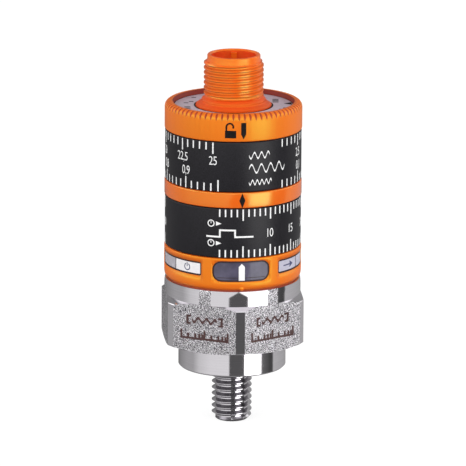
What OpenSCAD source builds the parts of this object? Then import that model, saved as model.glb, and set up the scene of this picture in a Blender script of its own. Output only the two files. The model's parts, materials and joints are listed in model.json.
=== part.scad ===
// Vibration sensor with two setting rings, a locking ring and a plug connector.
// Millimetres. The origin is the centre of the seat face, +Z runs up the axis,
// and azimuths are counted from the front (-Y) towards +X.

/* [Stud and seat] */
// Outer diameter of the mounting stud
stud_d = 8; // [6:0.5:10]
// Length of the stud below the seat face
stud_len = 11.2; // [8:0.2:20]
// Height of the chamfer at the end of the stud
stud_chamfer = 0.8; // [0.2:0.1:1.5]
// Diameter of the collar that seats on the machine
seat_d = 21.4; // [18:0.2:25]
// Height of the seat collar
seat_h = 5.3; // [3:0.1:9]
// Chamfer round the edge of the seat face
seat_chamfer = 0.3; // [0.1:0.1:0.6]

/* [Hexagon] */
// Radial step from the orange rings in to the flats
hex_flat_inset = 0.1; // [0.05:0.01:0.2]
// Height of the hexagon
hex_h = 9.8; // [8:0.1:14]
// Radial step from the flats out to the turned corners
hex_corner_out = 1.6; // [0.8:0.1:2]
// Height of the turned chamfer at each end of the hexagon
hex_chamfer_h = 0.6; // [0.3:0.1:1.2]
// Azimuth of the corner nearest the front
hex_turn = 6.24; // [-30:0.01:30]
// Radial step from the orange rings in to the collar above the hexagon
collar_inset = 0.04; // [0.02:0.01:0.08]
// Height of the collar above the hexagon
collar_h = 3.05; // [2.4:0.05:5]
// Radius that the collar's wall bends inwards with towards its top
collar_round = 5; // [2:0.5:8]
// Angle of that bend
collar_round_turn = 14; // [5:1:16]

/* [Base cavity] */
// Width of the shoulder between the counterbore and the cavity
cavity_shoulder_w = 1.2; // [0.6:0.1:2]
// Height of the cavity floor above the seat face
cavity_floor = 6.5; // [4:0.1:8]
// Radial step from the core in to the counterbore that holds its spigot
socket_inset = 0.8; // [0.4:0.1:1.4]
// Depth of that counterbore
socket_depth = 5.6; // [4:0.1:7]

/* [Rings] */
// Outer diameter of the orange rings
ring_d = 27.2; // [26.8:0.1:29]
// Radial step from the orange rings in to the black setting rings
dial_inset = 0.1; // [0.05:0.05:0.3]
// Thickness of the gasket between the base and the window ring
gasket_t = 0.3; // [0.2:0.05:0.6]
// Radial step from the foot of the window ring in to the gasket
gasket_inset = 0.3; // [0.1:0.05:0.6]
// Height of the window ring
window_ring_h = 6.58; // [6.2:0.02:9]
// Height of the delay ring
delay_ring_h = 10.07; // [8:0.01:14]
// Height of the fixed middle ring
middle_ring_h = 3.21; // [2:0.01:6]
// Height of the velocity ring
velocity_ring_h = 10.12; // [8:0.01:14]
// Height of the lock ring
lock_ring_h = 5.37; // [5:0.01:7]
// Gap between one ring and the next
ring_gap = 0.12; // [0.06:0.01:0.2]
// Rounding of the edges of the rings
ring_edge = 0.25; // [0.1:0.05:0.4]
// Radius by which the window ring narrows to its foot
foot_taper = 0.55; // [0.2:0.05:0.8]
// Height of that tapered foot
foot_h = 1.25; // [0.8:0.05:1.6]
// Radius that blends the foot into the wall
foot_round = 2.5; // [1:0.1:2.6]
// Angle of that blend
foot_round_turn = 18; // [5:1:18]

/* [Windows] */
// Height of the side windows
side_window_h = 2.6; // [2:0.1:3.2]
// Corner radius of the side windows
side_window_corner = 0.35; // [0.1:0.05:0.8]
// Depth of the windows' faces below the ring
window_recess = 0.15; // [0.05:0.05:0.3]
// Thickness of the window pads
window_t = 0.8; // [0.5:0.05:1]
// Gap round each window pad
window_gap = 0.1; // [0.04:0.02:0.16]
// Azimuth of the front end of the left windows
left_window_angle = -27; // [-40:1:-24]
// Angle that one left window covers
left_window_turn = 29.2; // [20:0.2:34]
// Azimuth of the front end of the right windows
right_window_angle = 41.6; // [40:0.2:50]
// Angle that one right window covers
right_window_turn = 26; // [18:0.2:30]
// Azimuth of the middle of the centre window
centre_window_angle = 7.65; // [0:0.05:12]
// Angle that the centre window covers
centre_window_turn = 48.9; // [40:0.1:52]
// Height of the centre window
centre_window_h = 4; // [3:0.1:4.4]
// Corner radius of the centre window
centre_window_corner = 1.6; // [0.8:0.1:1.9]
// Diameter of the leg behind each window that takes the light
light_leg_d = 1.6; // [1:0.1:1.9]

/* [Pointer] */
// Azimuth of the pointer
pointer_angle = 7.8; // [2:0.1:12]
// Width of the pointer
pointer_w = 1.2; // [0.8:0.1:1.6]
// Length of the pointer from its foot to its tip
pointer_len = 3.4; // [2:0.1:3.6]
// Gap between the pointer and the lower edge of its window
pointer_foot_gap = 0.18; // [0.1:0.02:0.3]
// Length of the pointed end
pointer_tip = 0.65; // [0.3:0.05:1]

/* [Core sleeve] */
// Radial depth of the rings, from their outer face to the lower part of the core
ring_depth = 2.6; // [2.4:0.05:3]
// Width of the shoulder that the fixed middle ring rests on
core_shoulder_w = 0.4; // [0.3:0.05:0.6]
// Wall of the upper part of the core
core_wall = 1.8; // [1.6:0.1:2.2]
// Width of the ledge in the bore of the core
core_ledge_w = 0.6; // [0.4:0.1:1]
// Height of the ledge above the top of the base
core_ledge = 1.85; // [1.4:0.05:2.4]
// Radial clearance of a ring that turns on the core
running_clearance = 0.05; // [0.02:0.01:0.09]
// Radial clearance of a piece that is bonded in place
bond_clearance = 0.05; // [0.02:0.01:0.09]
// Cord diameter of the drag rings and of the head seal
seal_cord_d = 1; // [0.8:0.05:1.1]

/* [Ring stops] */
// Diameter of the two stop pins
stop_pin_d = 1.2; // [0.8:0.1:1.6]
// Length by which a stop pin stands out of the core
stop_pin_out = 0.75; // [0.5:0.05:0.9]
// Height of the groove that a stop pin runs in
stop_groove_h = 2.2; // [1.8:0.1:3]
// Azimuth of the stop pins
stop_pin_angle = 187.8; // [180:0.1:200]
// Sweep of the delay ring from rest to the short-delay stop
delay_up_turn = 24; // [10:1:60]
// Sweep of the delay ring from rest to the long-delay stop
delay_down_turn = 279; // [200:1:280]
// Sweep of the velocity ring from rest to its far stop
velocity_turn = 328; // [250:1:330]
// Gap left at each stop
stop_gap = 0.2; // [0.1:0.05:0.3]

/* [Magnets] */
// Diameter of the magnet in each setting ring
magnet_d = 3; // [2:0.1:4]
// Length of each magnet
magnet_len = 1.4; // [1:0.1:1.6]
// Azimuth of the delay ring's magnet at rest
delay_magnet_angle = 95; // [60:1:150]
// Azimuth of the velocity ring's magnet at rest
velocity_magnet_angle = 80; // [60:1:150]

/* [Lock ring] */
// Wall of the rim round the recess that the label lies in
rim_wall = 1.55; // [1.3:0.05:1.8]
// Height of the lip that the connector head holds down
lock_lip_h = 2.7; // [2:0.1:3]
// Rounding of the shoulder
shoulder_r = 1.1; // [0.6:0.1:1.3]
// Number of grooves round the shoulder
grip_count = 75; // [40:1:90]
// Width of each groove, which is a notch of two flanks
grip_groove_w = 0.52; // [0.2:0.02:0.8]
// Depth of each groove at the middle of the shoulder
grip_groove_depth = 0.42; // [0.2:0.02:0.5]
// Sweep of the lock ring from open to locked
lock_turn = 18; // [10:1:30]
// Angle that one stop lug covers
lug_turn = 12; // [8:1:20]
// Height of the stop lugs above the lip
lug_h = 0.8; // [0.4:0.05:1]

/* [Connector head] */
// Outer diameter of the connector thread
plug_d = 12; // [11:0.5:13]
// Length of the threaded stretch
plug_thread_len = 7.2; // [6:0.1:9]
// Height of the chamfer above the thread
plug_chamfer_h = 0.65; // [0.4:0.05:1]
// Outer diameter of the plain lip
plug_lip_d = 10.5; // [9.8:0.1:10.8]
// Height of the plain lip
plug_lip_h = 1; // [0.5:0.05:1.5]
// Rounding of the plug's rim
plug_edge = 0.3; // [0.1:0.05:0.35]
// Bore of the plug
plug_bore_d = 8.9; // [8.4:0.1:9.2]
// Depth of the plug's bore
plug_bore_depth = 8.6; // [7:0.1:9]
// Width of the key rib in the bore
key_w = 1.1; // [0.6:0.1:1.6]
// Height of the key rib above the wall of the bore
key_out = 0.55; // [0.3:0.05:0.8]
// Diameter of the round foot that stands in the label's hole
plug_foot_d = 14.8; // [13.6:0.1:15.2]
// Height of the fillet from the foot to the thread
plug_fillet_h = 1.5; // [0.8:0.05:2]
// Thickness of the flange under the label
flange_t = 1.3; // [1.2:0.05:1.8]
// Length of the spigot that goes into the core
head_spigot_len = 4.6; // [4:0.1:6]

/* [Contacts] */
// Diameter of a contact pin
contact_d = 1; // [0.8:0.05:1.2]
// Distance of the contact pins from the axis
contact_circle_r = 2.5; // [2.2:0.1:2.8]
// Depth of the pins' tips below the rim of the plug
contact_sunk = 1.4; // [0.8:0.1:3]
// Diameter of the body of the contact carrier
carrier_d = 10.2; // [9.6:0.1:11]
// Height of the body of the contact carrier
carrier_h = 3.2; // [2:0.1:4]

/* [Label] */
// Thickness of the label disc
label_t = 0.3; // [0.2:0.05:0.5]
// Gap round the label disc
label_gap = 0.25; // [0.15:0.05:0.35]

/* [Boards] */
// Thickness of the main board
board_t = 1; // [0.8:0.1:1.4]
// Step from the edge of the contact carrier in to the edge of the main board
board_inset = 0.2; // [0.05:0.05:0.5]
// Thickness of the round boards
disc_board_t = 0.8; // [0.6:0.1:1]
// Edge length of the accelerometer
chip_w = 3; // [2:0.1:4]
// Height of the accelerometer
chip_h = 1; // [0.6:0.1:1.4]
// Edge length of the processor
processor_w = 7; // [5:0.5:9]
// Height of the header that joins the boards
header_h = 2.25; // [1.5:0.05:3]
// Edge length of a lamp on the lamp board
lamp_w = 1.2; // [0.8:0.1:1.6]
// Height of a lamp
lamp_h = 2.2; // [1.6:0.1:2.6]

/* [Hidden] */

$fn = 96;
overrun = ring_gap;
full_turn = 360;
quarter_turn = full_turn / 4;
hex_sides = 6;

// Radii
stud_r = stud_d / 2;
seat_r = seat_d / 2;
ring_r = ring_d / 2;
dial_r = ring_r - dial_inset;
collar_r = ring_r - collar_inset;
hex_flat_r = ring_r - hex_flat_inset;
hex_corner_r = hex_flat_r + hex_corner_out;
core_r = ring_r - ring_depth;
core_upper_r = core_r - core_shoulder_w;
core_bore_r = core_upper_r - core_wall;
core_low_bore_r = core_bore_r - core_ledge_w;
socket_r = core_r - socket_inset;
cavity_r = socket_r - cavity_shoulder_w;
recess_r = ring_r - rim_wall;
carrier_r = carrier_d / 2;
board_w = (carrier_r - board_inset) * 2;
plug_r = plug_d / 2;
plug_lip_r = plug_lip_d / 2;
plug_bore_r = plug_bore_d / 2;
plug_foot_r = plug_foot_d / 2;
seal_cord_r = seal_cord_d / 2;

// Heights of the stack, from the seat face up
hex_z = seat_h;
collar_z = hex_z + hex_h;
base_top = collar_z + collar_h;
socket_z = base_top - socket_depth;
window_ring_z = base_top + gasket_t;
delay_ring_z = window_ring_z + window_ring_h;
middle_ring_z = delay_ring_z + delay_ring_h;
velocity_ring_z = middle_ring_z + middle_ring_h;
lock_ring_z = velocity_ring_z + velocity_ring_h;
lock_ring_top = lock_ring_z + lock_ring_h;
core_top = lock_ring_z + lock_lip_h + ring_gap;
ledge_z = base_top + core_ledge;
label_z = core_top + flange_t;
label_top = label_z + label_t;
thread_z = label_top + plug_fillet_h;
thread_top = thread_z + plug_thread_len;
lip_z = thread_top + plug_chamfer_h;
plug_top = lip_z + plug_lip_h;
plug_floor = plug_top - plug_bore_depth;
carrier_top = label_z;
carrier_z = carrier_top - carrier_h;
contact_board_z = carrier_z - disc_board_t;

// Inside the base and the core
sensor_board_top = cavity_floor + disc_board_t;
main_board_z = sensor_board_top + header_h;
main_board_top = contact_board_z - ring_gap;
potting_top = socket_z - ring_gap;
lamp_z = ledge_z + disc_board_t;
side_window_height_share = 0.61;
centre_window_height_share = 0.585;
window_mid_z = window_ring_z + window_ring_h * side_window_height_share;
centre_mid_z = window_ring_z + window_ring_h * centre_window_height_share;

chip_place_share = 1.5;

// Fits
window_face_r = ring_r - window_recess;
window_back_r = window_face_r - window_t;
light_leg_r = light_leg_d / 2;
leg_end_r = core_bore_r - window_gap * 2;
head_spigot_r = core_bore_r - bond_clearance;
flange_r = recess_r - label_gap;
label_bore_r = plug_foot_r + label_gap;

// Drag rings, stop pins and magnets
lower_drag_z = middle_ring_z - delay_ring_h / 4;
upper_drag_z = lock_ring_z - velocity_ring_h / 4;
lower_stop_z = delay_ring_z + ring_gap + stop_groove_h / 2;
upper_stop_z = velocity_ring_z + ring_gap + stop_groove_h / 2;
magnet_height_share = 0.46;
lower_magnet_z = delay_ring_z + delay_ring_h * magnet_height_share;
upper_magnet_z = velocity_ring_z + velocity_ring_h * magnet_height_share;
lower_stop_r = core_r + stop_pin_out;
upper_stop_r = core_upper_r + stop_pin_out;
stop_groove_out = stop_pin_out + stop_gap;

function turn_of(width, radius) = width / radius * full_turn / (2 * PI);
function stop_margin(radius) = turn_of(stop_pin_d / 2 + stop_gap, radius);
function arc_points(cx, cz, radius, from, to, steps) =
  [for (i = [0 : steps]) let (a = from + (to - from) * i / steps)
    [cx + radius * cos(a), cz + radius * sin(a)]];

// Turns its children so that their +X points outwards at an azimuth
module at_azimuth(azimuth) {
  rotate([0, 0, azimuth - quarter_turn]) children();
}

// Round bar along the radius at an azimuth and a height
module radial_bar(azimuth, z, radius, from_r, to_r) {
  at_azimuth(azimuth)
    translate([from_r, 0, z])
      rotate([0, quarter_turn, 0])
        cylinder(r = radius, h = to_r - from_r);
}

// Part of a ring between two azimuths
module sector(r_in, r_out, from, to, z_low, z_high) {
  at_azimuth(from)
    rotate_extrude(angle = to - from)
      polygon([[r_in, z_low], [r_out, z_low], [r_out, z_high], [r_in, z_high]]);
}

// Plain ring
module band(r_in, r_out, z_low, z_high) {
  rotate_extrude()
    polygon([[r_in, z_low], [r_out, z_low], [r_out, z_high], [r_in, z_high]]);
}

// Ring whose outer edges are rounded
module rounded_ring(r_in, r_out, z_low, z_high, edge) {
  rotate_extrude()
    polygon(concat(
      [[r_in, z_low]],
      arc_points(r_out - edge, z_low + edge, edge, -quarter_turn, 0, 4),
      arc_points(r_out - edge, z_high - edge, edge, 0, quarter_turn, 4),
      [[r_in, z_high]]
    ));
}

// Torus of a round cord
module cord_ring(centre_r, cord_r, z) {
  translate([0, 0, z])
    rotate_extrude()
      translate([centre_r, 0])
        circle(r = cord_r);
}

// Rectangle with round corners, centred on its middle
function rounded_outline(half_w, half_h, corner) = concat(
  arc_points(half_w - corner, half_h - corner, corner, 0, quarter_turn, 4),
  arc_points(corner - half_w, half_h - corner, corner, quarter_turn, quarter_turn * 2, 4),
  arc_points(corner - half_w, corner - half_h, corner, quarter_turn * 2, quarter_turn * 3, 4),
  arc_points(half_w - corner, corner - half_h, corner, quarter_turn * 3, full_turn, 4)
);

// Ring wall cut to a rectangle with round corners, as seen along one azimuth
module curved_pad(r_in, r_out, azimuth, half_w, z, half_h, corner) {
  intersection() {
    band(r_in, r_out, z - half_h - overrun, z + half_h + overrun);
    at_azimuth(azimuth)
      translate([0, 0, z])
        rotate([quarter_turn, 0, quarter_turn])
          linear_extrude(height = ring_r + window_t)
            polygon(rounded_outline(half_w, half_h, corner));
  }
}

// Turned steel base: stud, seat collar, hexagon and upper collar in one piece
module base() {
  color("silver")
    difference() {
      intersection() {
        rotate_extrude()
          polygon(concat(
            [
              [0, -stud_len],
              [stud_r - stud_chamfer, -stud_len],
              [stud_r, -stud_len + stud_chamfer],
              [stud_r, 0],
              [seat_r - seat_chamfer, 0],
              [seat_r, seat_chamfer],
              [seat_r, hex_z],
              [collar_r, hex_z],
              [hex_corner_r, hex_z + hex_chamfer_h],
              [hex_corner_r, collar_z - hex_chamfer_h],
              [collar_r, collar_z]
            ],
            arc_points(
              collar_r - collar_round, base_top - collar_round * sin(collar_round_turn),
              collar_round, 0, collar_round_turn, 4
            ),
            [[0, base_top]]
          ));
        at_azimuth(hex_turn)
          translate([0, 0, -stud_len])
            cylinder(
              r = hex_flat_r / cos(full_turn / hex_sides / 2), h = stud_len + base_top, $fn = hex_sides
            );
      }
      translate([0, 0, cavity_floor])
        cylinder(r = cavity_r, h = base_top);
      translate([0, 0, socket_z])
        cylinder(r = socket_r, h = base_top);
    }
}

// Round board bonded to the cavity floor
module sensor_board() {
  color("darkgreen")
    translate([0, 0, cavity_floor])
      cylinder(r = cavity_r - bond_clearance, h = disc_board_t);
}

// Accelerometer soldered to the sensing board
module accelerometer() {
  color("dimgray")
    translate([-chip_w / 2, -chip_w * chip_place_share, sensor_board_top])
      cube([chip_w, chip_w, chip_h]);
}

// Header that joins the sensing board to the main board
module board_header() {
  color("black")
    translate([-board_w / 4, -board_t, sensor_board_top])
      cube([board_w / 2, board_t * 2, header_h]);
}

// Resin that locks the sensing board and the foot of the main board
module potting() {
  color("saddlebrown")
    difference() {
      translate([0, 0, sensor_board_top])
        cylinder(r = cavity_r - bond_clearance, h = potting_top - sensor_board_top);
      translate([-chip_w / 2, -chip_w * chip_place_share, sensor_board_top - overrun])
        cube([chip_w, chip_w, chip_h + overrun]);
      translate([-board_w / 4, -board_t, sensor_board_top - overrun])
        cube([board_w / 2, board_t * 2, header_h + overrun]);
      translate([-board_w / 2, -board_t / 2, main_board_z])
        cube([board_w, board_t, base_top]);
    }
}

// Flat gasket between the base and the window ring
module base_gasket() {
  color("black")
    band(core_r + bond_clearance, ring_r - foot_taper - gasket_inset, base_top, window_ring_z);
}

// Moulded sleeve that carries the rings and seals the electronics
module core_sleeve() {
  color("dimgray")
    difference() {
      rotate_extrude()
        polygon([
          [core_low_bore_r, socket_z],
          [socket_r - bond_clearance, socket_z],
          [socket_r - bond_clearance, base_top],
          [core_r, base_top],
          [core_r, middle_ring_z],
          [core_upper_r, middle_ring_z],
          [core_upper_r, core_top],
          [core_bore_r, core_top],
          [core_bore_r, ledge_z],
          [core_low_bore_r, ledge_z]
        ]);
      band(core_r - seal_cord_d, ring_r, lower_drag_z - seal_cord_r, lower_drag_z + seal_cord_r);
      band(core_upper_r - seal_cord_d, ring_r, upper_drag_z - seal_cord_r, upper_drag_z + seal_cord_r);
      for (azimuth = window_azimuths)
        radial_bar(azimuth, window_mid_z, light_leg_r + window_gap, core_low_bore_r, ring_r);
      radial_bar(stop_pin_angle, lower_stop_z, stop_pin_d / 2, core_low_bore_r, ring_r);
      radial_bar(stop_pin_angle, upper_stop_z, stop_pin_d / 2, core_low_bore_r, ring_r);
    }
}

// Elastic ring that seals the delay ring and gives it its drag
module lower_drag_ring() {
  color("black")
    cord_ring(core_r - seal_cord_r, seal_cord_r, lower_drag_z);
}

// Elastic ring that seals the velocity ring and gives it its drag
module upper_drag_ring() {
  color("black")
    cord_ring(core_upper_r - seal_cord_r, seal_cord_r, upper_drag_z);
}

// Pin in the core that stops the delay ring
module lower_stop_pin() {
  color("silver")
    radial_bar(stop_pin_angle, lower_stop_z, stop_pin_d / 2, core_bore_r, lower_stop_r);
}

// Pin in the core that stops the velocity ring
module upper_stop_pin() {
  color("silver")
    radial_bar(stop_pin_angle, upper_stop_z, stop_pin_d / 2, core_bore_r, upper_stop_r);
}

// Long circuit board on the axis
module main_board() {
  color("darkgreen")
    translate([-board_w / 2, -board_t / 2, main_board_z])
      cube([board_w, board_t, main_board_top - main_board_z]);
}

// Processor on the face of the main board
module processor() {
  color("dimgray")
    translate([-processor_w / 2, -board_t / 2 - chip_h, middle_ring_z - processor_w / 2])
      cube([processor_w, chip_h, processor_w]);
}

// Chip beside a magnet that reads the angle of its ring
module angle_sensor(z) {
  color("dimgray")
    translate([board_w / 2 - chip_w, -board_t / 2 - chip_h, z - chip_w / 2])
      cube([chip_w, chip_h, chip_w]);
}

module lower_angle_sensor() {
  angle_sensor(lower_magnet_z);
}

module upper_angle_sensor() {
  angle_sensor(upper_magnet_z);
}

// Round board on the core's ledge that carries the lamps
module lamp_board() {
  color("darkgreen")
    difference() {
      translate([0, 0, ledge_z])
        cylinder(r = core_bore_r - bond_clearance, h = disc_board_t);
      translate([-board_w / 2, -board_t / 2, ledge_z - overrun])
        cube([board_w, board_t, disc_board_t + overrun * 2]);
    }
}

// One lamp behind each window
module lamps() {
  color("gold")
    for (azimuth = window_azimuths)
      at_azimuth(azimuth)
        translate([leg_end_r - window_gap - lamp_w, -lamp_w / 2, lamp_z])
          cube([lamp_w, lamp_w, lamp_h]);
}

// Azimuths of the divider of each pair of windows, and half the pair's width
left_pair_angle = left_window_angle - left_window_turn;
right_pair_angle = right_window_angle + right_window_turn;
left_pair_half_w = window_face_r * sin(left_window_turn);
right_pair_half_w = window_face_r * sin(right_window_turn);
centre_half_w = window_face_r * sin(centre_window_turn / 2);

// Azimuths of the five light legs
left_front_angle = left_pair_angle + left_window_turn / 2;
left_rear_angle = left_pair_angle - left_window_turn / 2;
right_front_angle = right_pair_angle - right_window_turn / 2;
right_rear_angle = right_pair_angle + right_window_turn / 2;
centre_leg_angle = centre_window_angle - centre_window_turn / 4;
window_azimuths = [
  left_front_angle, left_rear_angle, right_front_angle, right_rear_angle, centre_leg_angle
];

// Outer form of the window ring, with its tapered foot and rounded top edge
module window_ring_form() {
  rotate_extrude()
    polygon(concat(
      [[core_r + bond_clearance, window_ring_z]],
      [[ring_r - foot_taper, window_ring_z]],
      arc_points(ring_r - foot_round, window_ring_z + foot_h, foot_round, -foot_round_turn, 0, 4),
      arc_points(ring_r - ring_edge, delay_ring_z - ring_gap - ring_edge, ring_edge, 0, quarter_turn, 4),
      [[core_r + bond_clearance, delay_ring_z - ring_gap]]
    ));
}

// Pocket for a window or a pair of windows
module window_pocket(azimuth, half_w, z, height, corner) {
  curved_pad(
    window_back_r, ring_r + window_t, azimuth,
    half_w + window_gap, z, height / 2 + window_gap, corner + window_gap
  );
}

// Orange ring with a round-cornered pocket for each group of windows
module window_ring() {
  color("darkorange")
    difference() {
      window_ring_form();
      window_pocket(left_pair_angle, left_pair_half_w, window_mid_z, side_window_h, side_window_corner);
      window_pocket(right_pair_angle, right_pair_half_w, window_mid_z, side_window_h, side_window_corner);
      window_pocket(
        centre_window_angle, centre_half_w, centre_mid_z, centre_window_h, centre_window_corner
      );
      for (azimuth = window_azimuths)
        radial_bar(azimuth, window_mid_z, light_leg_r + window_gap, core_low_bore_r, ring_r - window_t);
    }
}

// Window pad that fills its pocket but for the gap
module window_pad(azimuth, half_w, z, height, corner) {
  curved_pad(window_back_r + window_gap / 2, window_face_r, azimuth, half_w, z, height / 2, corner);
}

// Leg behind a window that takes the light of its lamp
module light_leg(azimuth) {
  radial_bar(azimuth, window_mid_z, light_leg_r, leg_end_r, window_face_r - window_t / 2);
}

// One of a pair of side windows: side is 1 past the divider and -1 before it
module side_window(pair_angle, half_w, side, leg_angle) {
  color("gainsboro") {
    intersection() {
      window_pad(pair_angle, half_w, window_mid_z, side_window_h, side_window_corner);
      at_azimuth(pair_angle)
        translate([0, side * (half_w + window_gap) / 2, window_mid_z])
          cube([ring_d, half_w, side_window_h * 2], center = true);
    }
    light_leg(leg_angle);
  }
}

module left_front_window() {
  side_window(left_pair_angle, left_pair_half_w, 1, left_front_angle);
}

module left_rear_window() {
  side_window(left_pair_angle, left_pair_half_w, -1, left_rear_angle);
}

module right_front_window() {
  side_window(right_pair_angle, right_pair_half_w, -1, right_front_angle);
}

module right_rear_window() {
  side_window(right_pair_angle, right_pair_half_w, 1, right_rear_angle);
}

// Outline of the pointer, foot down, along the radius at its azimuth
module pointer_bar(from_r, to_r) {
  at_azimuth(pointer_angle)
    translate([from_r, 0, centre_mid_z - centre_window_h / 2 + pointer_foot_gap])
      rotate([quarter_turn, 0, quarter_turn])
        linear_extrude(height = to_r - from_r)
          polygon([
            [-pointer_w / 2, 0],
            [pointer_w / 2, 0],
            [pointer_w / 2, pointer_len - pointer_tip],
            [0, pointer_len],
            [-pointer_w / 2, pointer_len - pointer_tip]
          ]);
}

// Smoked window with a slot for the pointer
module centre_window() {
  color("dimgray")
    difference() {
      union() {
        window_pad(centre_window_angle, centre_half_w, centre_mid_z, centre_window_h, centre_window_corner);
        light_leg(centre_leg_angle);
      }
      pointer_bar(window_back_r - window_t, ring_r + window_t);
    }
}

// White pointer in the slot of the smoked window
module pointer() {
  color("white")
    intersection() {
      pointer_bar(window_back_r - window_t, ring_r + window_t);
      band(window_back_r + window_gap / 2, window_face_r + window_recess / 3, window_ring_z, delay_ring_z);
    }
}

// Setting ring: a running bore, a groove for the stop pin that one tooth
// interrupts, and a blind hole for the magnet
module setting_ring(bore_r, z_low, z_high, tooth_from_angle, tooth_to_angle, magnet_angle, magnet_z) {
  groove_r = bore_r - running_clearance + stop_groove_out;
  color("dimgray")
    difference() {
      rounded_ring(bore_r, dial_r, z_low, z_high, ring_edge);
      sector(
        bore_r - running_clearance * 2, groove_r, tooth_to_angle, tooth_from_angle + full_turn,
        z_low - overrun, z_low + stop_groove_h
      );
      radial_bar(
        magnet_angle, magnet_z, magnet_d / 2 + bond_clearance, bore_r - magnet_len, magnet_end_r(bore_r)
      );
    }
}

function magnet_end_r(bore_r) = bore_r + running_clearance * 2 + magnet_len;

// Magnet in the wall of a setting ring
module ring_magnet(bore_r, magnet_angle, magnet_z) {
  color("silver")
    radial_bar(
      magnet_angle, magnet_z, magnet_d / 2,
      magnet_end_r(bore_r) - magnet_len, magnet_end_r(bore_r) - bond_clearance
    );
}

delay_bore_r = core_r + running_clearance;
velocity_bore_r = core_upper_r + running_clearance;

// Black ring that sets the delay
delay_tooth_to_angle = stop_pin_angle - stop_margin(core_r) - delay_up_turn;
delay_tooth_from_angle = stop_pin_angle + stop_margin(core_r) + delay_down_turn - full_turn;

module delay_ring() {
  setting_ring(
    delay_bore_r, delay_ring_z, middle_ring_z - ring_gap,
    delay_tooth_from_angle, delay_tooth_to_angle, delay_magnet_angle, lower_magnet_z
  );
}

module delay_magnet() {
  ring_magnet(delay_bore_r, delay_magnet_angle, lower_magnet_z);
}

// Fixed orange ring that rests on the shoulder of the core
module middle_ring() {
  color("darkorange")
    rounded_ring(
      core_upper_r + bond_clearance, ring_r, middle_ring_z, velocity_ring_z - ring_gap, ring_edge
    );
}

// Black ring that sets the vibration velocity
velocity_tooth_from_angle = stop_pin_angle + stop_margin(core_upper_r);
velocity_tooth_to_angle = stop_pin_angle - stop_margin(core_upper_r) - velocity_turn + full_turn;

module velocity_ring() {
  setting_ring(
    velocity_bore_r, velocity_ring_z, lock_ring_z - ring_gap,
    velocity_tooth_from_angle, velocity_tooth_to_angle, velocity_magnet_angle, upper_magnet_z
  );
}

module velocity_magnet() {
  ring_magnet(velocity_bore_r, velocity_magnet_angle, upper_magnet_z);
}

lock_lip_top = lock_ring_z + lock_lip_h;
lug_azimuths = [quarter_turn, quarter_turn * 3];

// Orange lock ring with a grooved shoulder, a lip under the connector head
// and two lugs that stop it at open and locked
module lock_ring() {
  color("darkorange")
    difference() {
      union() {
        rotate_extrude()
          polygon(concat(
            [[velocity_bore_r, lock_ring_z]],
            arc_points(ring_r - ring_edge, lock_ring_z + ring_edge, ring_edge, -quarter_turn, 0, 4),
            arc_points(ring_r - shoulder_r, lock_ring_top - shoulder_r, shoulder_r, 0, quarter_turn, 4),
            [[recess_r, lock_ring_top]],
            [[recess_r, lock_lip_top]],
            [[velocity_bore_r, lock_lip_top]]
          ));
        for (azimuth = lug_azimuths)
          sector(
            flange_r - lug_h, recess_r + overrun, azimuth - lug_turn / 2, azimuth + lug_turn / 2,
            lock_lip_top - overrun, lock_lip_top + lug_h
          );
      }
      for (i = [0 : grip_count - 1])
        grip_groove(full_turn * i / grip_count);
    }
}

// One notch across the shoulder, tilted along its slope
module grip_groove(azimuth) {
  tilt = quarter_turn / 2;
  at_azimuth(azimuth)
    translate([
      ring_r - shoulder_r + shoulder_r * cos(tilt),
      0,
      lock_ring_top - shoulder_r + shoulder_r * sin(tilt)
    ])
      rotate([0, -tilt, 0])
        linear_extrude(height = (shoulder_r + grip_groove_depth) * 2, center = true)
          polygon([
            [-grip_groove_depth, 0],
            [0, -grip_groove_w / 2],
            [grip_groove_depth, 0],
            [0, grip_groove_w / 2]
          ]);
}

// Moulded connector head: spigot, flange, foot, threaded plug and key rib
module connector_head() {
  notch_turn = turn_of(stop_gap, flange_r);
  color("darkorange")
    difference() {
      union() {
        rotate_extrude()
          polygon(concat(
            [[carrier_r + bond_clearance, core_top - head_spigot_len]],
            [[head_spigot_r, core_top - head_spigot_len]],
            [[head_spigot_r, core_top]],
            [[flange_r, core_top]],
            [[flange_r, label_z]],
            [[plug_foot_r, label_z]],
            [[plug_foot_r, label_top]],
            arc_points(
              plug_r + plug_fillet_h, thread_z, plug_fillet_h, -quarter_turn, -2 * quarter_turn, 5
            ),
            [[plug_r, thread_top]],
            [[plug_lip_r, lip_z]],
            arc_points(
              plug_lip_r - plug_edge, plug_top - plug_edge, plug_edge, 0, quarter_turn, 3
            ),
            [[plug_bore_r + plug_edge, plug_top]],
            [[plug_bore_r, plug_top - plug_edge]],
            [[plug_bore_r, carrier_top]],
            [[carrier_r + bond_clearance, carrier_top]]
          ));
        intersection() {
          band(plug_bore_r - key_out, plug_bore_r + overrun, plug_floor, plug_top - plug_chamfer_h);
          at_azimuth(quarter_turn * 2)
            translate([0, -key_w / 2, plug_floor])
              cube([plug_r, key_w, plug_bore_depth]);
        }
      }
      band(
        head_spigot_r - seal_cord_d, core_r,
        head_seal_z - seal_cord_r, head_seal_z + seal_cord_r
      );
      for (azimuth = lug_azimuths)
        sector(
          flange_r - lug_h - stop_gap, recess_r,
          azimuth - lug_turn / 2 - lock_turn - notch_turn, azimuth + lug_turn / 2 + notch_turn,
          core_top - overrun, lock_lip_top + lug_h + ring_gap
        );
    }
}

head_seal_z = core_top - head_spigot_len / 2;

// Seal between the spigot of the head and the bore of the core
module head_seal() {
  color("black")
    cord_ring(head_spigot_r - seal_cord_r, seal_cord_r, head_seal_z);
}

contact_azimuths = [for (i = [0 : 3]) quarter_turn / 2 + i * quarter_turn];
contact_tip_z = plug_top - contact_sunk;

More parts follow.
